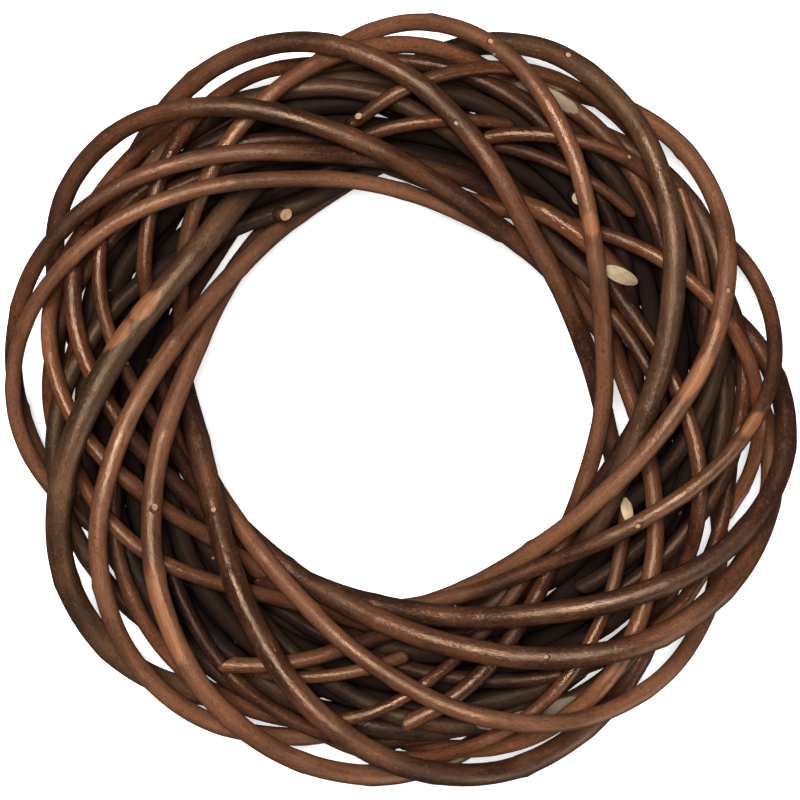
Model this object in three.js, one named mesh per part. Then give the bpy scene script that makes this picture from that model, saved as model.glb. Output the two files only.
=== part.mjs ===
// A round wreath frame of woven willow rods, lying on its back.
// +Z is the ring's axis and points up out of the front face; +Y is the top of the ring when it hangs.
// Core rods run round the ring as a flat, loose rope. Three layers spiral round it: the under rods one
// way, the cross rods the other way, and the outer rods the first way again, from the rim over the
// front to the hole.
import * as THREE from "three";

// Driving dimensions, in millimetres and degrees. Angles run anticlockwise from +X.
// A woven layer's skin is how far its rods reach from the ring's middle plane, front and back; crest
// and dip are their usual radii at the rim and at the hole; halfTurn is how many degrees of ring half
// a turn round the bundle takes.
const OUTER = { skin: 29.2, crest: 146, dip: 76, halfTurn: 95 };
const CROSS = { skin: 20.6, crest: 136, dip: 86, halfTurn: 76 };
const UNDER = { skin: 15, crest: 132, dip: 90, halfTurn: 90 };
const LIFT_LEAN = 0.13; // how much sooner than halfway a rod reaches the middle of its pass

const CORE_RADIUS = 109; // centre of the core bundle
const CORE_WIDE = 14.5; // half width and half height of the track that the core rods follow
const CORE_HIGH = 4;
const CORE_TURNS = 9 / 7; // turns round the bundle in one trip round the ring
const CORE_THICK = [8.8, 7.4];
const CUT_GAP = 18; // degrees between the cut ends of two core rods that follow one another
const TWIG_HEIGHT = 15; // of a twig's middle; its ends dip a little towards the core
const TWIG_DIP = 4;

const FACET = 16; // length of one straight facet of a rod
const WOVEN_RADIUS = 118; // where the facets of a woven rod are measured out
const OUTER_SIDES = 7;
const INNER_SIDES = 6;

// How the woven rods settle against one another.
const ROUNDS = 400;
const SPRUNG_ROUNDS = 340; // the rods' own spring fades away over these rounds
const ROUNDS_PER_SEARCH = 20; // between two searches for pieces that are near each other
const REACH = 30; // pieces with middles further apart than this cannot touch
const OWN_REACH = 4; // a piece is not parted from this many next to it on its own rod
const CLEARANCE = 0.35; // left between the skins of two rods
const STIFFNESS = 0.5; // share of an uneven shift that a rod evens out in one round
const MEMORY = 0.02; // share of its shift that it springs back in one round
const BENCH = -28.6; // the bench that the ring lies on, below its middle plane
const PRESSED = 0.5; // depth of the flats that the bench presses into the lowest rods

// Outer rods. Each front pass goes from a crest at the rim to a dip at the hole, both [angle, radius];
// lean is how much sooner than halfway it gets there. runOn is how far the rod goes on, in degrees,
// before its first crest and after its last dip.
const OUTER_RODS = [
  {
    thick: [6.0, 7.4],
    runOn: [50, 50],
    passes: [
      { crest: [180, 148.6], dip: [66, 79.5], lean: 0.14 },
      { crest: [-44, 146.5], dip: [-142, 80.5], lean: 0.09 },
    ],
  },
  {
    thick: [7.4, 9.6],
    runOn: [52, 32],
    passes: [
      { crest: [145, 151.5], dip: [52, 84], lean: 0.17 },
      { crest: [-71, 148], dip: [-164, 88.5], lean: 0.08 },
    ],
  },
  {
    thick: [6.6, 7.6],
    runOn: [46, 44],
    passes: [
      { crest: [87, 144.2], dip: [-6, 79], lean: 0.155 },
      { crest: [-126, 144.4], dip: [-224, 81], lean: 0.085 },
    ],
  },
  {
    thick: [8.4, 10.6],
    runOn: [48, 14],
    passes: [
      { crest: [66, 143.2], dip: [-48, 88], lean: 0.16 },
      { crest: [-142, 147.4], dip: [-243, 94], lean: 0.18 },
    ],
  },
  {
    thick: [6.0, 7.2],
    runOn: [55, 45],
    passes: [
      { crest: [13, 145.4], dip: [-72, 80.5], lean: 0.137 },
      { crest: [-192, 150], dip: [-298, 87], lean: 0.155 },
    ],
  },
  {
    thick: [9.0, 7.4],
    runOn: [45, 52],
    passes: [
      { crest: [-16, 147.3], dip: [-124, 79], lean: 0.1 },
      { crest: [-243, 145], dip: [-338, 74.5], lean: 0.1 },
    ],
  },
  {
    thick: [8.2, 7.2],
    runOn: [50, 46],
    passes: [
      { crest: [-96, 144.4], dip: [-208, 80.5], lean: 0.05 },
      { crest: [-319, 143.6], dip: [-426, 79.5], lean: 0.17 },
    ],
  },
  {
    thick: [8.0, 9.0],
    runOn: [60, 16],
    passes: [{ crest: [-6, 149], dip: [-106, 87], lean: 0.2 }],
  },
];

// Cross rods. Each front pass goes from a dip to a crest, both angles, and may reach its own radius
// at the rim; span is where the cut ends are.
const CROSS_RODS = [
  { thick: [6.6, 5.6], span: [262, -20], passes: [{ dip: 231, crest: 159 }, { dip: 69, crest: -5 }] },
  {
    thick: [7.0, 6.0],
    span: [240, -130],
    passes: [
      { dip: 218, crest: 142, rim: 140 },
      { dip: 39, crest: -44, rim: 128 },
    ],
  },
  { thick: [6.2, 7.0], span: [171, -95], passes: [{ dip: 171, crest: 87 }, { dip: 17, crest: -72 }] },
  {
    thick: [5.4, 6.6],
    span: [100, -89],
    passes: [
      { dip: 131, crest: 58, rim: 139 },
      { dip: -31, crest: -115 },
    ],
  },
  { thick: [7.0, 6.0], span: [-40, -123], passes: [{ dip: -74, crest: -149, rim: 140 }] },
  { thick: [6.4, 5.4], span: [-60, -212], passes: [{ dip: -106, crest: -178, rim: 127 }] },
  { thick: [5.0, 5.6], span: [270, 151], passes: [{ dip: 203, crest: 136 }] },
  {
    thick: [5.8, 4.8],
    span: [73, -103],
    passes: [
      { dip: 108, crest: 30, rim: 130 },
      { dip: -46, crest: -124 },
    ],
  },
  { thick: [5.4, 4.6], span: [-25, -190], passes: [{ dip: -3, crest: -90 }] },
  { thick: [6.0, 5.0], span: [160, 25], passes: [{ dip: 190, crest: 113, rim: 133 }] },
];

// Under rods, between the core and the cross rods. Each front pass goes from a crest to a dip.
const UNDER_RODS = [
  { thick: [6.6, 5.8], span: [205, -165], passes: [{ crest: 162, dip: 74 }, { crest: -27, dip: -118 }] },
  { thick: [7.4, 6.4], span: [180, -190], passes: [{ crest: 129, dip: 41 }, { crest: -60, dip: -150 }] },
  { thick: [6.2, 5.4], span: [140, -215], passes: [{ crest: 98, dip: 8 }, { crest: -92, dip: -180 }] },
  { thick: [7.0, 6.0], span: [111, -240], passes: [{ crest: 64, dip: -24 }, { crest: -123, dip: -212 }] },
  { thick: [7.8, 6.6], span: [76, -290], passes: [{ crest: 36, dip: -54 }, { crest: -157, dip: -247 }] },
  { thick: [6.4, 5.6], span: [52, -300], passes: [{ crest: 4, dip: -86 }, { crest: -186, dip: -275 }] },
];

// Short twigs tucked under the outer rods: [angle, radius] of each end.
const TWIGS = [
  { thick: [5.4, 5.0], ends: [[101, 97], [67, 110]] },
  { thick: [5.0, 4.4], ends: [[70, 103], [38, 113]] },
  { thick: [7.2, 7.8], ends: [[60, 84], [28.5, 95]] },
  { thick: [5.4, 4.6], ends: [[23, 90], [-6, 107]] },
  { thick: [5.2, 4.8], ends: [[38, 129], [9, 114]] },
  { thick: [5.0, 4.6], ends: [[-88, 96], [-119, 114]] },
];

// Core rods. Each starts this many degrees clockwise of +X and ends short of where the next one starts.
const CORE_RODS = [-12, 18, -10.7, 51, 66, 9, 54].map((start) => ({ thick: CORE_THICK, start }));

const { clamp, degToRad, lerp } = THREE.MathUtils;

function onRing(angle, radius, height) {
  const turn = degToRad(angle);
  return new THREE.Vector3(radius * Math.cos(turn), radius * Math.sin(turn), height);
}

// Runs clockwise from one angle to another and calls place(angle) at even steps.
function along(from, to, radius, place) {
  const count = Math.round((degToRad(from - to) * radius) / FACET);
  return Array.from({ length: count + 1 }, (_, i) => place(from + ((to - from) * i) / count));
}

// A spiral through turning points { angle, radius, lean }, first over the back and then the front.
function spiral(turns, lift, from, to) {
  return along(from, to, WOVEN_RADIUS, (angle) => {
    const past = turns.findLastIndex((turn) => turn.angle > angle);
    const leg = clamp(past, 0, turns.length - 2);
    const [start, end] = turns.slice(leg, leg + 2);
    const share = (start.angle - angle) / (start.angle - end.angle);
    const bow = Math.sin(Math.PI * share) * Math.sign(start.radius - end.radius);
    const middle = (start.radius + end.radius) / 2;
    const swing = (start.radius - end.radius) / 2;
    const radius = middle + swing * Math.cos(Math.PI * (share + start.lean * bow));
    const rise = lift * Math.sin(Math.PI * (share + LIFT_LEAN * bow));
    return onRing(angle, radius, leg % 2 === 0 ? -rise : rise);
  });
}

// A woven rod's route from one angle to another. The turning points before its first and after its
// last are the layer's usual ones.
function wovenRoute(turns, layer, thick, from, to) {
  const opposite = (turn) => (turn.radius > CORE_RADIUS ? layer.dip : layer.crest);
  const [first, last] = [turns.at(0), turns.at(-1)];
  const before = { angle: first.angle + layer.halfTurn, radius: opposite(first), lean: first.lean };
  const after = { angle: last.angle - layer.halfTurn, radius: opposite(last) };
  return spiral([before, ...turns, after], layer.skin - thick[0] / 2, from, to);
}

function outerRoute({ thick, runOn, passes }) {
  const turns = passes.flatMap(({ crest, dip, lean }) => [
    { angle: crest[0], radius: crest[1], lean },
    { angle: dip[0], radius: dip[1], lean: LIFT_LEAN },
  ]);
  return wovenRoute(turns, OUTER, thick, turns.at(0).angle + runOn[0], turns.at(-1).angle - runOn[1]);
}

function crossRoute({ thick, span, passes }) {
  const turns = passes.flatMap(({ dip, crest, rim = CROSS.crest }) => [
    { angle: dip, radius: CROSS.dip, lean: 0 },
    { angle: crest, radius: rim, lean: 0 },
  ]);
  return wovenRoute(turns, CROSS, thick, ...span);
}

function underRoute({ thick, span, passes }) {
  const turns = passes.flatMap(({ crest, dip }) => [
    { angle: crest, radius: UNDER.crest, lean: 0 },
    { angle: dip, radius: UNDER.dip, lean: 0 },
  ]);
  return wovenRoute(turns, UNDER, thick, ...span);
}

// The core rods follow one another along a single long spiral that closes on itself.
function coreRoute({ start }, index) {
  const next = CORE_RODS[(index + 1) % CORE_RODS.length];
  const from = -index * 360 - start;
  const to = -(index + 1) * 360 - next.start + CUT_GAP;
  return along(from, to, CORE_RADIUS, (angle) => {
    const turn = degToRad(angle * CORE_TURNS);
    return onRing(angle, CORE_RADIUS + CORE_WIDE * Math.cos(turn), -CORE_HIGH * Math.sin(turn));
  });
}

function twigRoute({ ends: [[from, fromRadius], [to, toRadius]] }) {
  return along(from, to, CORE_RADIUS, (angle) => {
    const share = (from - angle) / (from - to);
    const sag = TWIG_DIP * (1 - Math.sin(Math.PI * share));
    return onRing(angle, lerp(fromRadius, toRadius, share), TWIG_HEIGHT - sag);
  });
}

// The rods of one layer, numbered from 1. Each tapers from its first thickness to its second.
function layer(name, rods, route, sides, look) {
  return rods.map((made, n) => {
    const points = route(made, n);
    const last = points.length - 1;
    const radii = points.map((_, i) => lerp(made.thick[0], made.thick[1], i / last) / 2);
    return { name: `${name}_${n + 1}`, points, radii, sides, look };
  });
}

// Where along two straight pieces a-b and c-d, each from 0 to 1, they come closest.
function closestShares(a, b, c, d) {
  const along1 = b.clone().sub(a);
  const along2 = d.clone().sub(c);
  const across = a.clone().sub(c);
  const length1 = along1.lengthSq();
  const length2 = along2.lengthSq();
  const slant = along1.dot(along2);
  const lag1 = along1.dot(across);
  const lag2 = along2.dot(across);
  const spread = length1 * length2 - slant * slant;
  let share1 = spread > 1e-6 ? clamp((slant * lag2 - lag1 * length2) / spread, 0, 1) : 0.5;
  const share2 = clamp((slant * share1 + lag2) / length2, 0, 1);
  share1 = clamp((slant * share2 - lag1) / length1, 0, 1);
  return [share1, share2];
}

// Every pair of straight pieces that could touch; a piece runs from point i of its rod to the next.
function nearPieces(rods) {
  const pieces = rods.flatMap((rod) =>
    rod.points.slice(1).map((end, i) => ({ rod, i, middle: end.clone().lerp(rod.points[i], 0.5) })),
  );
  return pieces.flatMap((one, n) =>
    pieces
      .slice(n + 1)
      .filter((other) => one.rod !== other.rod || other.i - one.i >= OWN_REACH)
      .filter((other) => one.middle.distanceTo(other.middle) < REACH)
      .map((other) => [one, other]),
  );
}

// Moves two pieces apart where they come closer than their thickness and the clearance.
function partPieces(one, other) {
  const [a, b] = [one.rod.points[one.i], one.rod.points[one.i + 1]];
  const [c, d] = [other.rod.points[other.i], other.rod.points[other.i + 1]];
  const [share1, share2] = closestShares(a, b, c, d);
  const push = a.clone().lerp(b, share1).sub(c.clone().lerp(d, share2));
  const apart = push.length();
  const thick1 = lerp(one.rod.radii[one.i], one.rod.radii[one.i + 1], share1);
  const thick2 = lerp(other.rod.radii[other.i], other.rod.radii[other.i + 1], share2);
  const missing = thick1 + thick2 + CLEARANCE - apart;
  if (missing <= 0) return;
  const weights = [1 - share1, share1, share2 - 1, -share2];
  const total = weights.reduce((sum, weight) => sum + weight * weight, 0);
  push.multiplyScalar(missing / apart / total);
  [a, b, c, d].forEach((point, i) => point.addScaledVector(push, weights[i]));
}

// Lets a rod spring back towards its home and even out its bends.
function spring({ points }, home, strength) {
  const moved = points.map((point, i) => point.clone().sub(home[i]));
  points.forEach((point, i) => {
    const before = moved[Math.max(i - 1, 0)];
    const after = moved[Math.min(i + 1, moved.length - 1)];
    const uneven = before.clone().lerp(after, 0.5).sub(moved[i]);
    point.addScaledVector(uneven, STIFFNESS * strength);
    point.addScaledVector(moved[i], -MEMORY * strength);
  });
}

// Lets the rods.push one another aside until none of them overlap, and keeps them above the bench.
function settle(rods) {
  const homes = rods.map((rod) => rod.points.map((point) => point.clone()));
  let pairs = [];
  for (let round = 0; round < ROUNDS; round += 1) {
    if (round % ROUNDS_PER_SEARCH === 0) pairs = nearPieces(rods);
    const strength = Math.max(0, 1 - round / SPRUNG_ROUNDS);
    rods.forEach((rod, n) => spring(rod, homes[n], strength));
    pairs.forEach(([one, other]) => partPieces(one, other));
    for (const { points, radii, sides } of rods) {
      points.forEach((point, i) => {
        point.z = Math.max(point.z, BENCH + radii[i] * Math.cos(Math.PI / sides) - PRESSED);
      });
    }
  }
}

// A rod's centre line. Its frames stay upright, so that one side of the rod always faces the bench,
// and they carry the rod's radius, so that the rod tapers.
class RodPath extends THREE.Curve {
  constructor(points, radii) {
    super();
    this.points = points;
    this.radii = radii;
  }

  getPointAt(share) {
    return this.points[Math.round(share * (this.points.length - 1))].clone();
  }

  computeFrenetFrames() {
    const { points, radii } = this;
    const tangents = points.map((_, i) =>
      points[Math.min(i + 1, points.length - 1)].clone().sub(points[Math.max(i - 1, 0)]).normalize(),
    );
    const up = new THREE.Vector3(0, 0, 1);
    const normals = tangents.map((tangent, i) => up.clone().cross(tangent).setLength(radii[i]));
    const binormals = tangents.map((tangent, i) => tangent.clone().cross(normals[i]));
    return { tangents, normals, binormals };
  }
}

// A regular outline of radius 1 with one side facing down.
function outline(sides) {
  const corners = Array.from({ length: sides }, (_, i) => {
    const turn = (2 * Math.PI * (i + 0.5)) / sides - Math.PI / 2;
    return new THREE.Vector2(Math.cos(turn), Math.sin(turn));
  });
  return new THREE.Shape(corners);
}

function rodMesh({ name, points, radii, sides, look }) {
  const geometry = new THREE.ExtrudeGeometry(outline(sides), {
    steps: points.length - 1,
    extrudePath: new RodPath(points, radii),
  });
  const corners = geometry.getAttribute("position");
  for (let i = 0; i < corners.count; i += 1) corners.setZ(i, Math.max(corners.getZ(i), BENCH));
  geometry.computeVertexNormals();
  const mesh = new THREE.Mesh(geometry, new THREE.MeshStandardMaterial({ ...look, metalness: 0 }));
  mesh.name = name;
  return mesh;
}

const bark = { color: 0x6b4029, roughness: 0.55 };
const newBark = { color: 0x8a4f2c, roughness: 0.5 };
const oldBark = { color: 0x5d5038, roughness: 0.65 };

const rods = [
  ...layer("outer_rod", OUTER_RODS, outerRoute, OUTER_SIDES, bark),
  ...layer("cross_rod", CROSS_RODS, crossRoute, INNER_SIDES, newBark),
  ...layer("under_rod", UNDER_RODS, underRoute, INNER_SIDES, newBark),
  ...layer("tucked_twig", TWIGS, twigRoute, INNER_SIDES, newBark),
  ...layer("core_rod", CORE_RODS, coreRoute, INNER_SIDES, oldBark),
];
settle(rods);

const meshes = rods.map(rodMesh);
const frame = new THREE.Group();
frame.name = "wreath_frame";
frame.add(...meshes);

const box = new THREE.Box3().setFromObject(frame);
const middle = box.getCenter(new THREE.Vector3());
for (const mesh of meshes) mesh.geometry.translate(-middle.x, -middle.y, -box.min.z);

export default frame;
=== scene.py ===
"""The looks of a woven willow wreath frame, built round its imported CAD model.

Each CAD rod is a faceted tube. Here its centre line and thickness are read back from the frame, and a
smooth, slightly knotty rod with bark and slanting cut ends is made along the same line. Metres, +Z up.
"""

import math
import random

import bpy
import numpy as np
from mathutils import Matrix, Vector


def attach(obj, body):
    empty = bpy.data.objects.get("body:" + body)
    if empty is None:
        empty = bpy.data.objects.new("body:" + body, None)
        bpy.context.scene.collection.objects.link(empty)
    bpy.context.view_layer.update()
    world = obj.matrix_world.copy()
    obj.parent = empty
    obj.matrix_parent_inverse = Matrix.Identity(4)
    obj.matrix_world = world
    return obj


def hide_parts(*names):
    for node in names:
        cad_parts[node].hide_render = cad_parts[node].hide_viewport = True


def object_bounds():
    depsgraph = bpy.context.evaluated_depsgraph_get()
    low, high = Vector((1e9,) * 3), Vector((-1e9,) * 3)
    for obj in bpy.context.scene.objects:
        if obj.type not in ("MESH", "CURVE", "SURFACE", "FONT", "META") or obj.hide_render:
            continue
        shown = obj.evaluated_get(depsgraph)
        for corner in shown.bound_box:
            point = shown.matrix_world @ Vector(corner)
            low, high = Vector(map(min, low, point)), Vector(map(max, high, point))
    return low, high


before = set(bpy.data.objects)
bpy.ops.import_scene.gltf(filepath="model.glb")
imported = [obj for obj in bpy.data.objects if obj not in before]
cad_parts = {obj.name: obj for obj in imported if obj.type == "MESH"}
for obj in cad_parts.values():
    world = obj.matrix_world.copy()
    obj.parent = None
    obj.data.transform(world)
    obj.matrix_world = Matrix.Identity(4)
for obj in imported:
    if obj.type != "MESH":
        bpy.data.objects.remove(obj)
cad_low, cad_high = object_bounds()
cad_size = cad_high - cad_low
cad_middle = (cad_low + cad_high) / 2

MM = 0.001
TURN = 2 * math.pi

# The wreath.
RING_RADIUS = 0.107  # the middle of the woven bundle
BUNDLE_WIDE = 0.041  # half of the bundle's width and height, to the outermost skins
BUNDLE_HIGH = 0.031
FRONT_SLACK = 3 * MM  # its front starts this far behind its middle plane

# Each rod's mesh.
RING_EDGE = 6.5 * MM  # edges round a CAD rod are shorter than this, edges along it are longer
KINK_ROUNDS = 3
SIDES = 20
STEPS_PER_FACET = 11
BARK, CUT, KNOT = range(3)  # a piece's material slots
CUT_RINGS = (0.93, 0.7, 0.35)  # rings of corners inside a cut face, as shares of its radius

# How a rod wanders off its smooth line, to each side and up and down, with the lengths of the waves.
SWAY = 0.22 * MM
SWAYS_ASIDE = (0.083, 0.047)
SWAYS_UP = (0.071, 0.039)

# How its thickness varies, as a share of it: slowly along it, round it, and at the joint of each bud.
SWELL = 0.018
SWELLS = (0.112, 0.058, 0.031)
OVAL = 0.018
THREE_SIDED = 0.01
JOINT_SWELL = 0.045
JOINT_REACH = 3.2 * MM

# The buds. A pair of numbers is the least and the most that chance gives, here and below.
FIRST_BUD = (0.012, 0.030)  # from the rod's start
BUD_GAP = (0.026, 0.044)
LAST_BUD = 0.010  # no bud is nearer than this to the rod's end
BUD_REACH = 1.7 * MM  # along the rod
BUD_ARC = 0.42  # round the rod, in radians
BUD_HEIGHT = 0.34 * MM

# Trimmed side shoots. An outline is spread and rise from the root to the cut, in the shoot's own radii.
KNOTTY = 0.10  # share of the buds that grew into a shoot and were trimmed
KNOT_SIZES = (0.5 * MM, 0.8 * MM)
KNOT_OUTLINE = ((1.75, -0.9), (1.35, 0.1), (1.1, 0.55), (1.0, 0.7))
STUB_OUTLINE = ((1.14, -0.9), (1.08, 0.1), (1.03, 0.7), (1.0, 1.9))
SHOOT_LEAN = 0.35  # how much a shoot leans along its rod
SHOOT_LENGTHENED = 1.2  # its section is this much longer along the rod
KNOT_ROLL = 0.5  # a knot at a known place stands within this of the top, in radians

# The cuts at a rod's two ends, in degrees.
SAME_END = 12  # of the wreath; a rod's two ends are further apart than this
SHOWN_SLANT = 64  # a cut that shows as a long oval
HIDDEN_SLANTS = (30, 62)
HIDDEN_ROLL = 40  # a hidden cut faces within this of straight down
SLANT_REACH = 2.6  # how far back the slant is spread, in halves of the cut's length

# Places that a knife has shaved, in the rod's radii, and places where the bark is worn.
SHAVE_DEPTH = 0.55
SHAVE_EDGE = 0.12
WORN_EDGE = 1.6  # a higher power keeps the wear closer to the side it is on
PATTERN_LENGTH = 3.7  # the rods start at different places along this length of bark pattern

# Features at known places. Angles are in degrees round the wreath, anticlockwise from +X.
# Worn places: angle, half length, and which side is worn: 0 is the outer side, 90 the top.
WORN = {
    "outer_rod_3": [(43, 6 * MM, 90)],
    "outer_rod_4": [(168, 8 * MM, 40), (161, 7 * MM, 60)],
    "outer_rod_5": [(-4, 6 * MM, 90)],
    "outer_rod_7": [(4, 12 * MM, 100), (-137, 20 * MM, 60)],
}
# Knots: angle and radius.
KNOTS = {
    "outer_rod_3": [(76, 0.9 * MM)],
    "outer_rod_4": [(64, 0.9 * MM), (121, 1.1 * MM)],
    "outer_rod_2": [(-147, 1.0 * MM)],
    "outer_rod_6": [(79, 0.8 * MM), (-60, 0.8 * MM)],
    "outer_rod_7": [(19, 0.8 * MM), (-156, 1.2 * MM)],
    "outer_rod_5": [(-27, 0.9 * MM)],
    "under_rod_3": [(59, 1.0 * MM)],
    "cross_rod_4": [(98, 1.2 * MM)],
}
# Stubs of side shoots: angle, radius, and the way the stub points, as for the worn places.
STUBS = {
    "core_rod_2": [(50, 2.3 * MM, 90)],
    "under_rod_5": [(124, 2.3 * MM, 110)],
}
# Shaved faces, on top of the rod: angle and half length.
SHAVED = {"under_rod_4": [(64, 14 * MM)], "under_rod_2": [(-68, 22 * MM)]}
# Shown cuts: the angle of the cut end, and which way the cut faces, as for the worn places.
SHOWN_CUTS = {"tucked_twig_3": (29, 125), "cross_rod_9": (-26, 65)}
# How light a rod is, from 0 to 1; the others are tinted by chance.
TINTS = {"outer_rod_2": 0.35, "outer_rod_4": 0.3, "outer_rod_7": 0.8, "outer_rod_8": 0.15}
CHANCE_TINTS = (0.25, 0.8)


# Centre lines ------------------------------------------------------------------------------------


def merged(mesh):
    """A mesh's corners, with those at one place merged, and the edges between them."""
    places = np.array([v.co for v in mesh.vertices])
    _, first, merged_to = np.unique(np.round(places, 6), axis=0, return_index=True, return_inverse=True)
    edges = merged_to.reshape(-1)[np.array([e.vertices for e in mesh.edges])]
    return places[first], edges[edges[:, 0] != edges[:, 1]]


def connected(count, links):
    """Which group each of count items is in, where links join pairs of them."""
    neighbours = [[] for _ in range(count)]
    for a, b in links:
        neighbours[a].append(b)
        neighbours[b].append(a)
    group = [None] * count
    groups = 0
    for start in range(count):
        if group[start] is not None:
            continue
        waiting = [start]
        group[start] = groups
        while waiting:
            for other in neighbours[waiting.pop()]:
                if group[other] is None:
                    group[other] = groups
                    waiting.append(other)
        groups += 1
    return np.array(group)


def centre_line(node):
    """The centres and radii of a CAD rod's rings of corners, clockwise round the wreath."""
    corners, edges = merged(node.data)
    lengths = np.linalg.norm(corners[edges[:, 0]] - corners[edges[:, 1]], axis=1)
    ring = connected(len(corners), edges[lengths < RING_EDGE])
    rings = range(ring.max() + 1)
    centres = np.array([corners[ring == r].mean(0) for r in rings])
    radii = np.array([np.linalg.norm(corners[ring == r] - centres[r], axis=1).max() for r in rings])
    neighbours = [set(ring[edges[(ring[edges] == r).any(1)]].ravel()) - {r} for r in rings]
    order = [min(r for r in rings if len(neighbours[r]) == 1)]
    while len(order) <= ring.max():
        order.append((neighbours[order[-1]] - set(order)).pop())
    x, y = (centres[order] - cad_middle)[:, :2].T
    anticlockwise = (x[:-1] * y[1:] - y[:-1] * x[1:]).sum() > 0
    if anticlockwise:
        order.reverse()
    return centres[order], radii[order]


def without_kinks(points):
    """The points with their zigzags evened out; a steady bend stays as it is."""
    for _ in range(KINK_ROUNDS):
        middle = points[2:-2]
        around = 4 * (points[1:-3] + points[3:-1]) - points[:-4] - points[4:]
        points = np.vstack([points[:2], middle + (around - 6 * middle) / 16, points[-2:]])
    return points


def smooth_line(points, radii):
    """A smooth curve through the points, with a radius at each of its steps."""
    if len(points) > 4:
        points = without_kinks(points)
    before_first = 2 * points[0] - points[1]
    after_last = 2 * points[-1] - points[-2]
    p = np.vstack([before_first, points, after_last])
    share = np.arange(STEPS_PER_FACET)[:, None] / STEPS_PER_FACET
    curve = [
        0.5
        * (
            2 * p[i]
            + (p[i + 1] - p[i - 1]) * share
            + (2 * p[i - 1] - 5 * p[i] + 4 * p[i + 1] - p[i + 2]) * share**2
            + (3 * p[i] - p[i - 1] - 3 * p[i + 1] + p[i + 2]) * share**3
        )
        for i in range(1, len(points))
    ]
    line = np.vstack([*curve, points[-1:]])
    steps = np.arange(len(line)) / STEPS_PER_FACET
    return line, np.interp(steps, np.arange(len(radii)), radii)


# Rods --------------------------------------------------------------------------------------------


def waves(rng, along, lengths):
    """A smooth random wobble between about -1 and 1, made of waves of these lengths."""
    heights = sum(np.sin(TURN * along / length + rng.uniform(0, TURN)) for length in lengths)
    return heights / len(lengths)


def bumps(along, places, reach):
    """1 at each place along the rod, fading to 0 within reach."""
    return sum(np.exp(-(((along - place) / reach) ** 2)) for place in places)


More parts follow.
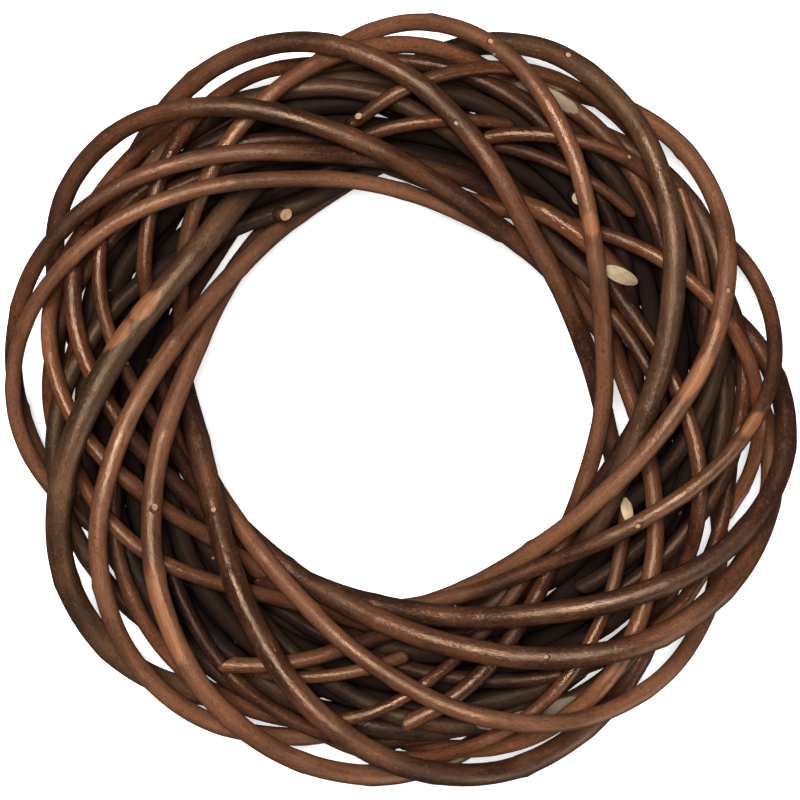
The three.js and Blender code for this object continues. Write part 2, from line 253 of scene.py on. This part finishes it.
class Rod:
    """One rod's surface, as rings of corners along its centre line."""

    def __init__(self, node, seed):
        self.name = node.name
        self.rng = random.Random(seed)
        line, radius = smooth_line(*centre_line(node))
        tangent = np.gradient(line, axis=0)
        tangent /= np.linalg.norm(tangent, axis=1)[:, None]
        side = np.cross((0, 0, 1), tangent)
        side /= np.linalg.norm(side, axis=1)[:, None]
        up = np.cross(tangent, side)
        steps = np.linalg.norm(np.diff(line, axis=0), axis=1)
        self.along = np.concatenate([[0], np.cumsum(steps)])
        self.length = self.along[-1]
        line = line + side * (SWAY * waves(self.rng, self.along, SWAYS_ASIDE))[:, None]
        line = line + up * (SWAY * waves(self.rng, self.along, SWAYS_UP))[:, None]
        self.line, self.tangent, self.side, self.up = line, tangent, side, up
        self.joints = self.bud_places()
        swelling = SWELL * waves(self.rng, self.along, SWELLS)
        swelling += JOINT_SWELL * bumps(self.along, self.joints, JOINT_REACH)
        self.radius = radius * (1 + swelling)
        self.turn = TURN * np.arange(SIDES) / SIDES
        self.oval = self.rng.uniform(0, TURN)
        self.tint = TINTS.get(self.name, self.rng.uniform(*CHANCE_TINTS))

    def bud_places(self):
        """How far along the rod its buds stand."""
        places = []
        place = self.rng.uniform(*FIRST_BUD)
        while place < self.length - LAST_BUD:
            places.append(place)
            place += self.rng.uniform(*BUD_GAP)
        return places

    def bud_turn(self, n):
        """Buds stand round a rod two fifths of a turn apart."""
        return self.oval + n * TURN * 2 / 5

    def angles_from(self, angle):
        """How many degrees of the wreath each step lies from this angle of it."""
        sight = self.line[:, :2] - np.array(cad_middle)[:2]
        off = np.degrees(np.arctan2(sight[:, 1], sight[:, 0])) - angle
        return np.abs((off + 180) % 360 - 180)

    def step_at(self, angle):
        """The step at which the rod's front passes this angle of the wreath."""
        off = self.angles_from(angle)
        off[self.line[:, 2] < cad_middle.z - FRONT_SLACK] = 360
        return int(off.argmin())

    def skin(self, shape):
        """Adds the bark, ring by ring, and returns the corners of its two end rings."""
        out = 1 + OVAL * np.cos(2 * self.turn - self.oval)
        out = out + THREE_SIDED * np.cos(3 * self.turn + 2 * self.oval)
        reach = self.radius[:, None] * out[None, :]
        for n, place in enumerate(self.joints):
            around = np.angle(np.exp(1j * (self.turn - self.bud_turn(n))))
            arc = np.exp(-((around / BUD_ARC) ** 2))
            bud = arc[None, :] * bumps(self.along, [place], BUD_REACH)[:, None]
            reach = reach + BUD_HEIGHT * bud
        across = reach * np.cos(self.turn)
        height, shaved = self.shave(reach * np.sin(self.turn))
        corners = (
            self.line[:, None, :]
            + self.side[:, None, :] * across[:, :, None]
            + self.up[:, None, :] * height[:, :, None]
        )
        corners = self.slanted(corners, reach)
        along = np.repeat(self.along[:, None], SIDES, axis=1)
        bark = np.stack([across, height, along + self.bark_start], axis=2)
        first = shape.add_corners(corners, bark, worn=self.worn(), shaved=shaved)
        rings = first + np.arange(corners.shape[0] * SIDES).reshape(-1, SIDES)
        for ring, following in zip(rings, rings[1:]):
            shape.join(ring, following, BARK)
        return rings[0], rings[-1]

    @property
    def bark_start(self):
        """Where this rod lies in the bark's pattern, so that no two rods look alike."""
        return PATTERN_LENGTH * self.tint

    def shave(self, height):
        """Flattens the long pale faces that a knife has left, and says which corners lie on them."""
        shaved = np.zeros_like(height)
        for angle, half in SHAVED.get(self.name, ()):
            inside = 1 - ((self.along - self.along[self.step_at(angle)]) / half) ** 2
            limit = (self.radius * (1 - SHAVE_DEPTH * inside))[:, None]
            edge = SHAVE_EDGE * self.radius[:, None]
            shaved = np.maximum(shaved, np.clip((height - limit) / edge, 0, 1))
            height = np.minimum(height, limit)
        return height, shaved

    def worn(self):
        """How worn the bark is at each corner: on the stated side of the rod's worn places."""
        worn = np.zeros((len(self.along), SIDES))
        for angle, half, turn in WORN.get(self.name, ()):
            near = bumps(self.along, [self.along[self.step_at(angle)]], half)
            facing = np.clip(np.cos(self.turn - math.radians(turn)), 0, 1) ** WORN_EDGE
            worn = np.maximum(worn, near[:, None] * facing[None, :])
        return worn

    def slanted(self, corners, reach):
        """The two ends cut on the slant: as stated at a shown end, else facing down, out of sight."""
        for end, outward in ((0, -1), (-1, 1)):
            angle, facing = SHOWN_CUTS.get(self.name, (0, 0))
            steep, tip = SHOWN_SLANT, 0
            radius = self.radius[end]
            if self.name not in SHOWN_CUTS or self.angles_from(angle)[end] > SAME_END:
                facing = -90 + self.rng.uniform(-HIDDEN_ROLL, HIDDEN_ROLL)
                steep, tip = self.rng.uniform(*HIDDEN_SLANTS), radius
            slant = math.tan(math.radians(steep))
            away = np.abs(self.along - self.along[end])
            fade = np.clip(1 - away / (SLANT_REACH * radius * slant), 0, 1) ** 2
            lean = reach * np.cos(self.turn - math.radians(facing)) + tip
            corners = corners - self.tangent[end] * (outward * slant * lean * fade[:, None])[:, :, None]
        return corners

    def knot(self, shape, step, turn, size, outline=KNOT_OUTLINE):
        """A trimmed side shoot: closed inside the rod, leaning along it, with a cut face on top."""
        outward = self.side[step] * math.cos(turn) + self.up[step] * math.sin(turn)
        outward = outward + SHOOT_LEAN * self.tangent[step]
        outward /= np.linalg.norm(outward)
        right = np.cross(outward, self.tangent[step])
        right /= np.linalg.norm(right)
        ahead = np.cross(right, outward) * SHOOT_LENGTHENED
        arms = right * np.cos(self.turn)[:, None] + ahead * np.sin(self.turn)[:, None]
        rings = []
        for spread, rise in outline:
            middle = self.line[step] + outward * (self.radius[step] + rise * size)
            corners = middle + arms * spread * size
            bark = corners - self.line[step] + (0, 0, self.along[step] + self.bark_start)
            first = shape.add_corners(corners, bark)
            rings.append(first + np.arange(SIDES))
        for ring, following in zip(rings, rings[1:]):
            shape.join(following, ring, BARK)
        cut_face(shape, rings[-1], KNOT)
        root = shape.add_corners(self.line[step], (0, 0, self.bark_start))
        shape.fan(rings[0][::-1], root, BARK)

    def make(self, shape):
        """Adds the whole rod: its bark, its two cut ends and its trimmed shoots."""
        start, end = self.skin(shape)
        cut_face(shape, start, CUT)
        cut_face(shape, end[::-1], CUT)
        for angle, size in KNOTS.get(self.name, ()):
            turn = TURN / 4 + self.rng.uniform(-KNOT_ROLL, KNOT_ROLL)
            self.knot(shape, self.step_at(angle), turn, size)
        for angle, size, turn in STUBS.get(self.name, ()):
            self.knot(shape, self.step_at(angle), math.radians(turn), size, STUB_OUTLINE)
        for n, place in enumerate(self.joints):
            if self.rng.random() < KNOTTY:
                step = int(np.abs(self.along - place).argmin())
                self.knot(shape, step, self.bud_turn(n), self.rng.uniform(*KNOT_SIZES))


class Shape:
    """The corners and faces of one piece, with what its materials read at each corner."""

    def __init__(self):
        self.corners = np.empty((0, 3))
        self.bark = np.empty((0, 3))
        self.values = {"rho": np.empty(0), "worn": np.empty(0), "shaved": np.empty(0)}
        self.faces = []
        self.slots = []

    def add_corners(self, corners, bark, rho=1.0, worn=0.0, shaved=0.0):
        """Adds corners and returns the number of the first."""
        first = len(self.corners)
        corners = np.reshape(corners, (-1, 3))
        self.corners = np.vstack([self.corners, corners])
        self.bark = np.vstack([self.bark, np.reshape(bark, (-1, 3))])
        for name, value in (("rho", rho), ("worn", worn), ("shaved", shaved)):
            each = np.ravel(value) if np.size(value) > 1 else np.full(len(corners), value)
            self.values[name] = np.append(self.values[name], each)
        return first

    def join(self, ring, following, slot):
        """Faces between two rings of as many corners."""
        after, following_after = np.roll(ring, -1), np.roll(following, -1)
        faces = np.stack([ring, after, following_after, following], axis=1)
        self.faces += faces.tolist()
        self.slots += [slot] * len(faces)

    def fan(self, ring, middle, slot):
        """Faces from a ring to the corner in its middle."""
        after = np.roll(ring, -1)
        self.faces += [[int(a), middle, int(b)] for a, b in zip(ring, after)]
        self.slots += [slot] * len(ring)

    def exposure(self):
        """0 in the middle of the woven bundle, 1 at its skin; the materials paint shade where it is low.
        """
        radius = np.linalg.norm(self.corners[:, :2] - np.array(cad_middle)[:2], axis=1)
        wide = (radius - RING_RADIUS) / BUNDLE_WIDE
        high = (self.corners[:, 2] - cad_middle.z) / BUNDLE_HIGH
        return np.clip(np.hypot(wide, high), 0, 1)

    def mesh(self, name, tint):
        """The piece's mesh, pressed flat where it would reach below what the wreath lies on."""
        self.corners[:, 2] = np.maximum(self.corners[:, 2], cad_low.z)
        mesh = bpy.data.meshes.new(name)
        mesh.from_pydata(self.corners.tolist(), [], self.faces)
        mesh.polygons.foreach_set("material_index", np.array(self.slots, np.int32))
        mesh.polygons.foreach_set("use_smooth", np.ones(len(self.faces), bool))
        mesh.attributes.new("bark", "FLOAT_VECTOR", "POINT").data.foreach_set("vector", self.bark.ravel())
        values = {**self.values, "exposure": self.exposure(), "tint": np.full(len(self.corners), tint)}
        for attribute_name, value in values.items():
            mesh.attributes.new(attribute_name, "FLOAT", "POINT").data.foreach_set("value", value)
        mesh.update()
        return mesh


def cut_face(shape, ring, slot):
    """A cut: rings inside the bark's edge, down to the pith."""
    edge, bark_edge = shape.corners[ring], shape.bark[ring]
    middle, bark_middle = edge.mean(0), bark_edge.mean(0)
    outer = ring
    for share in CUT_RINGS:
        corners = middle + (edge - middle) * share
        first = shape.add_corners(corners, bark_middle + (bark_edge - bark_middle) * share, rho=share)
        inner = first + np.arange(SIDES)
        shape.join(inner, outer, slot)
        outer = inner
    shape.fan(outer, shape.add_corners(middle, bark_middle, rho=0.0), slot)


def make_piece(node, seed, bark_look, cut_look, knot_look):
    """The fine rod that stands for a CAD rod."""
    rod = Rod(node, seed)
    shape = Shape()
    rod.make(shape)
    mesh = shape.mesh(f"willow_{node.name}", rod.tint)
    for look in (bark_look, cut_look, knot_look):
        mesh.materials.append(look)
    piece = bpy.data.objects.new(mesh.name, mesh)
    bpy.context.scene.collection.objects.link(piece)
    return piece


# Materials ---------------------------------------------------------------------------------------


BLACK = (0.0, 0.0, 0.0)
# Painted shade: near-black colours for bark and cuts in the middle of the bundle, where little light
# reaches.
DEEP_SHADE = (0.004, 0.003, 0.003)  # bark in the middle of the bundle
DEEP_CUT_SHADE = (0.01, 0.006, 0.004)  # a cut there
BARK_EDGE = (0.045, 0.020, 0.011)  # the edge of bark round a cut
SHAVED_LIGHT = (0.30, 0.235, 0.155)
SHAVED_DARK = (0.15, 0.112, 0.070)


def feed(tree, socket, value):
    """Gives an input its value: another node's socket, a number, or (red, green, blue) for a colour."""
    if isinstance(value, bpy.types.NodeSocket):
        tree.links.new(value, socket)
    elif socket.type == "RGBA":
        socket.default_value = (*value, 1)
    else:
        socket.default_value = value


def add(tree, kind, settings=None, **inputs):
    """A shader node. Inputs are named as in Blender, with _ for a space."""
    node = tree.nodes.new(f"ShaderNode{kind}")
    for name, value in (settings or {}).items():
        setattr(node, name, value)
    for name, value in inputs.items():
        feed(tree, node.inputs[name.replace("_", " ")], value)
    return node


def attribute(tree, name, output="Fac"):
    """What the mesh says at each corner, by its attribute's name."""
    return add(tree, "Attribute", {"attribute_name": name}).outputs[output]


def maths(tree, operation, first, second):
    node = add(tree, "Math", {"operation": operation})
    feed(tree, node.inputs[0], first)
    feed(tree, node.inputs[1], second)
    return node.outputs[0]


def scaled(tree, value, factor):
    return maths(tree, "MULTIPLY", value, factor)


def inverse(tree, share):
    return maths(tree, "SUBTRACT", 1.0, share)


def total(tree, first, *others):
    for other in others:
        first = maths(tree, "ADD", first, other)
    return first


def mixed(tree, share, first, second):
    """Two colours mixed: the first where share is 0, the second where it is 1."""
    node = add(tree, "Mix", {"data_type": "RGBA"})
    share_input, first_input, second_input = node.inputs[0], node.inputs[6], node.inputs[7]
    feed(tree, share_input, share)
    feed(tree, first_input, first)
    feed(tree, second_input, second)
    return node.outputs[2]


def ramp(tree, share, low, high):
    """0 below low, 1 above high, and smooth between."""
    smooth = {"interpolation_type": "SMOOTHSTEP"}
    return add(tree, "MapRange", smooth, Value=share, From_Min=low, From_Max=high).outputs[0]


def stretched(tree, bark, across, along):
    """The bark's own coordinates, with this many units per metre across the rod and along it."""
    return add(tree, "Mapping", Vector=bark, Scale=(across, across, along)).outputs[0]


def grain(tree, bark, across, along, detail=3, roughness=0.55):
    """Noise with about this many features per metre across the rod and along it, from 0 to 1."""
    place = stretched(tree, bark, across, along)
    noise = add(tree, "TexNoise", Vector=place, Scale=1.0, Detail=detail, Roughness=roughness)
    return noise.outputs[0]


def bumpy(tree, height, strength, distance):
    """A normal for a surface with this relief."""
    return add(tree, "Bump", Strength=strength, Distance=distance, Height=height).outputs[0]


def new_material(name, look):
    """A material whose shader gets what look, a function of its node tree, returns for each input."""
    material = bpy.data.materials.new(name)
    material.use_nodes = True
    tree = material.node_tree
    tree.nodes.clear()
    output = add(tree, "OutputMaterial")
    shader = add(tree, "BsdfPrincipled")
    tree.links.new(shader.outputs[0], output.inputs["Surface"])
    for input_name, value in look(tree).items():
        feed(tree, shader.inputs[input_name], value)
    return material


def sound_bark(tree, bark, noise, tones, worn):
    """Bark that nothing has rubbed: blotches of three tones, with streaks, pale flecks and dark pits."""
    dark, middle, light = tones
    tint = scaled(tree, total(tree, attribute(tree, "tint"), -0.5), 0.30)
    zones = grain(tree, bark, 25, 16, detail=2)
    tone = total(tree, scaled(tree, zones, 0.55), scaled(tree, noise["blotches"], 0.45), tint)
    colour = mixed(tree, ramp(tree, tone, 0.36, 0.54), dark, middle)
    colour = mixed(tree, ramp(tree, tone, 0.50, 0.68), colour, light)
    dimmed = mixed(tree, 0.20, colour, BLACK)
    colour = mixed(tree, ramp(tree, noise["streaks"], 0.38, 0.62), dimmed, colour)
    flecks = ramp(tree, noise["specks"], 0.57, 0.71)
    colour = mixed(tree, scaled(tree, flecks, 0.32), colour, worn)
    pits = inverse(tree, ramp(tree, noise["specks"], 0.31, 0.46))
    return mixed(tree, scaled(tree, pits, 0.55), colour, BLACK)


def rubbed_places(tree, bark, noise, shown, wear):
    """1 where the bark is rubbed: in flakes, more of them at the wreath's skin, and at the worn places."""
    flaking = grain(tree, bark, 260, 80, detail=6, roughness=0.72)
    flaking = scaled(tree, flaking, total(tree, scaled(tree, shown, 0.65), 0.35))
    ragged = scaled(tree, total(tree, noise["blotches"], -0.5), 0.9)
    patch = total(tree, attribute(tree, "worn"), ragged)
    return maths(tree, "MAXIMUM", ramp(tree, flaking, wear, wear + 0.13), ramp(tree, patch, 0.32, 0.62))


def pores(tree, bark, noise):
    """1 in the small pale dots that stand in groups on the bark."""
    place = stretched(tree, bark, 300, 150)
    spots = add(tree, "TexVoronoi", {"feature": "F1"}, Vector=place, Scale=1.0, Randomness=1.0)
    dots = inverse(tree, ramp(tree, spots.outputs["Distance"], 0.07, 0.15))
    return scaled(tree, dots, ramp(tree, noise["blotches"], 0.48, 0.62))


def bark_roughness(tree, bark, noise, bared, base):
    """Roughness: finely grained, duller where the wood is bared, and shinier in some stretches."""
    fine = grain(tree, bark, 2600, 240, detail=2)
    stretches = total(tree, grain(tree, bark, 30, 22, detail=1), -0.5)
    rough = total(tree, base, scaled(tree, fine, 0.30), scaled(tree, noise["blotches"], -0.40))
    return total(tree, rough, scaled(tree, stretches, 0.9), scaled(tree, bared, 0.15))


def bark_material(name, tones, worn, wear, roughness):
    """Willow bark in three tones, tan where it is worn, and painted shade, nearly black, inside the
    bundle.
    """

    def look(tree):
        bark = attribute(tree, "bark", "Vector")
        # shown falls from 1 at the bundle's skin to 0 inside it, where the colour turns to painted shade
        # and the gloss is turned down.
        shown = ramp(tree, attribute(tree, "exposure"), 0.24, 0.86)
        shaved = ramp(tree, attribute(tree, "shaved"), 0.35, 0.65)
        noise = {
            "blotches": grain(tree, bark, 150, 40, detail=5, roughness=0.66),
            "streaks": grain(tree, bark, 1400, 55),
            "specks": grain(tree, bark, 1100, 700, roughness=0.7),
        }
        rubbed = rubbed_places(tree, bark, noise, shown, wear)
        pore = pores(tree, bark, noise)

        dim_worn = tuple(0.62 * part for part in worn)
        bared = mixed(tree, ramp(tree, noise["streaks"], 0.30, 0.70), dim_worn, worn)
        colour = sound_bark(tree, bark, noise, tones, worn)
        colour = mixed(tree, scaled(tree, rubbed, 0.85), colour, bared)
        colour = mixed(tree, scaled(tree, pore, 0.40), colour, worn)
        colour = mixed(tree, shaved, colour, mixed(tree, noise["blotches"], SHAVED_LIGHT, SHAVED_DARK))
        # Painted shade: the colour darkened nearly to black for bark inside the bundle.
        painted_shade = mixed(tree, 0.92, colour, DEEP_SHADE)

        wrinkles = grain(tree, bark, 620, 210, detail=4, roughness=0.6)
        relief = total(tree, wrinkles, scaled(tree, noise["streaks"], 0.16), scaled(tree, pore, 0.35))
        relief = total(tree, relief, scaled(tree, noise["specks"], 0.5), scaled(tree, rubbed, -0.4))
        return {
            "Base Color": mixed(tree, shown, painted_shade, colour),
            "Roughness": bark_roughness(tree, bark, noise, total(tree, rubbed, shaved), roughness),
            "Specular IOR Level": scaled(tree, shown, 0.40),
            "Specular Tint": (1.0, 0.68, 0.46),
            "Normal": bumpy(tree, relief, 0.6, 0.45 * MM),
        }

    return new_material(name, look)


def cut_material(name, fresh, aged, pith_colour):
    """A rod's cut face: pale wood, darker in patches and round the pith, with a dark edge of bark, and
    painted shade, near black, inside the bundle.
    """

    def look(tree):
        bark = attribute(tree, "bark", "Vector")
        rho = attribute(tree, "rho")
        # shown falls to 0 inside the bundle, where the cut's colour turns to painted shade, near black.
        shown = ramp(tree, attribute(tree, "exposure"), 0.10, 0.55)
        patchy = grain(tree, bark, 480, 480, detail=5, roughness=0.6)
        fibres = grain(tree, bark, 2600, 300, detail=2)
        colour = mixed(tree, ramp(tree, patchy, 0.38, 0.68), fresh, aged)
        colour = mixed(tree, scaled(tree, ramp(tree, fibres, 0.45, 0.7), 0.35), colour, aged)
        pith = inverse(tree, ramp(tree, rho, 0.0, 0.3))
        colour = mixed(tree, scaled(tree, pith, 0.45), colour, pith_colour)
        colour = mixed(tree, ramp(tree, rho, 0.90, 1.0), colour, BARK_EDGE)
        return {
            "Base Color": mixed(tree, shown, DEEP_CUT_SHADE, colour),
            "Roughness": 0.72,
            "Specular IOR Level": 0.3,
            "Normal": bumpy(tree, total(tree, patchy, fibres), 0.5, 0.2 * MM),
        }

    return new_material(name, look)


# Each bark's tones are dark, middle and light. A lower wear bares more of its wood.
chestnut = bark_material(
    "chestnut_bark",
    tones=((0.022, 0.0084, 0.0044), (0.071, 0.0266, 0.0128), (0.122, 0.0500, 0.0252)),
    worn=(0.200, 0.078, 0.033),
    wear=0.66,
    roughness=0.41,
)
olive = bark_material(
    "olive_bark",
    tones=((0.022, 0.0104, 0.0052), (0.066, 0.0300, 0.0138), (0.110, 0.0545, 0.0270)),
    worn=(0.200, 0.078, 0.033),
    wear=0.66,
    roughness=0.51,
)
reddish = bark_material(
    "reddish_bark",
    tones=((0.026, 0.0080, 0.0040), (0.078, 0.0258, 0.0112), (0.135, 0.0520, 0.0240)),
    worn=(0.260, 0.110, 0.052),
    wear=0.66,
    roughness=0.35,
)
dull = bark_material(
    "dull_bark",
    tones=((0.018, 0.0080, 0.0045), (0.056, 0.0243, 0.0118), (0.100, 0.0460, 0.0228)),
    worn=(0.20, 0.100, 0.050),
    wear=0.68,
    roughness=0.46,
)
cream = cut_material("cream_cut_wood", (0.52, 0.40, 0.25), (0.38, 0.26, 0.15), (0.30, 0.18, 0.09))
tan = cut_material("tan_cut_wood", (0.30, 0.185, 0.105), (0.17, 0.088, 0.045), (0.08, 0.04, 0.02))
brown = cut_material("brown_cut_wood", (0.15, 0.073, 0.036), (0.075, 0.033, 0.016), (0.03, 0.015, 0.01))

# Which bark each kind of rod has, and its slot's name.
KINDS = {
    "outer": (chestnut, "bark"),
    "cross": (reddish, "young_bark"),
    "tucked": (reddish, "young_bark"),
    "core": (dull, "old_bark"),
    "under": (reddish, "young_bark"),
}
# The rods that differ: those with fresh, cream cuts, and those with olive bark.
FRESHLY_CUT = {"tucked_twig_3", "cross_rod_9", "core_rod_2"}
OLIVE_RODS = {"outer_rod_4", "under_rod_2", "under_rod_5", "core_rod_2", "core_rod_5"}

for seed, (name, node) in enumerate(sorted(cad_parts.items())):
    bark_look, slot = KINDS[name.split("_")[0]]
    if name in OLIVE_RODS:
        bark_look = olive
    cut_look, knot_look = (cream, cream) if name in FRESHLY_CUT else (brown, tan)
    piece = make_piece(node, seed, bark_look, cut_look, knot_look)
    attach(piece, "root")
    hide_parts(name)


# Stage -------------------------------------------------------------------------------------------


def floor_look(tree):
    """Near white, and a little bright of itself so that shadows on it stay pale."""
    return {
        "Base Color": (0.86, 0.86, 0.855),
        "Roughness": 0.9,
        "Emission Color": (1.0, 1.0, 1.0),
        "Emission Strength": 0.45,
    }


def make_floor(half, gap):
    """A square floor, just under the wreath, that throws no light or colour on it."""
    mesh = bpy.data.meshes.new("floor")
    z = cad_low.z - gap
    corners = [(-half, -half, z), (half, -half, z), (half, half, z), (-half, half, z)]
    mesh.from_pydata(corners, [], [(0, 1, 2, 3)])
    mesh.materials.append(new_material("pale_floor", floor_look))
    floor = bpy.data.objects.new("floor", mesh)
    bpy.context.scene.collection.objects.link(floor)
    floor.visible_diffuse = False
    floor.visible_glossy = False


def distant_light(name, source, spread, strength, colour):
    """A lamp far off in the direction of source. The more degrees it spreads, the softer it is."""
    data = bpy.data.lights.new(name, "SUN")
    data.angle = math.radians(spread)
    data.energy = strength
    data.color = colour
    light = bpy.data.objects.new(name, data)
    light.rotation_euler = Vector(source).to_track_quat("Z", "Y").to_euler()
    bpy.context.scene.collection.objects.link(light)


def make_world(shown, lighting):
    """A pale backdrop: as bright as shown where the camera sees it, and a faint cool light elsewhere."""
    world = bpy.data.worlds.new("studio")
    world.use_nodes = True
    tree = world.node_tree
    background = tree.nodes["Background"]
    seen = add(tree, "LightPath").outputs["Is Camera Ray"]
    feed(tree, background.inputs["Color"], mixed(tree, seen, (0.78, 0.89, 1.0), (1.0, 1.0, 1.0)))
    strength = add(tree, "MapRange", Value=seen, To_Min=lighting, To_Max=shown).outputs[0]
    feed(tree, background.inputs["Strength"], strength)
    bpy.context.scene.world = world


def make_camera(height, margin):
    """Straight above the wreath. The view is margin times as wide as the wreath."""
    data = bpy.data.cameras.new("camera")
    camera = bpy.data.objects.new("camera", data)
    camera.location = (cad_middle.x, cad_middle.y, cad_middle.z + height)
    data.lens = data.sensor_width * height / (cad_size.x * margin)
    bpy.context.scene.collection.objects.link(camera)
    bpy.context.scene.camera = camera


WARM_WHITE = (1.0, 0.99, 0.97)

make_floor(half=6.0, gap=0.2 * MM)
distant_light("key", source=(-0.36, 0.46, 1.45), spread=16, strength=3.9, colour=(1.0, 0.98, 0.95))
distant_light("overhead", source=(-0.02, 0.03, 1.0), spread=20, strength=3.8, colour=WARM_WHITE)
distant_light("fill", source=(0.8, -0.7, 0.22), spread=50, strength=1.8, colour=WARM_WHITE)
make_world(shown=1.0, lighting=0.08)
make_camera(height=1.6, margin=1.0075)
bpy.context.scene.view_settings.view_transform = "Standard"
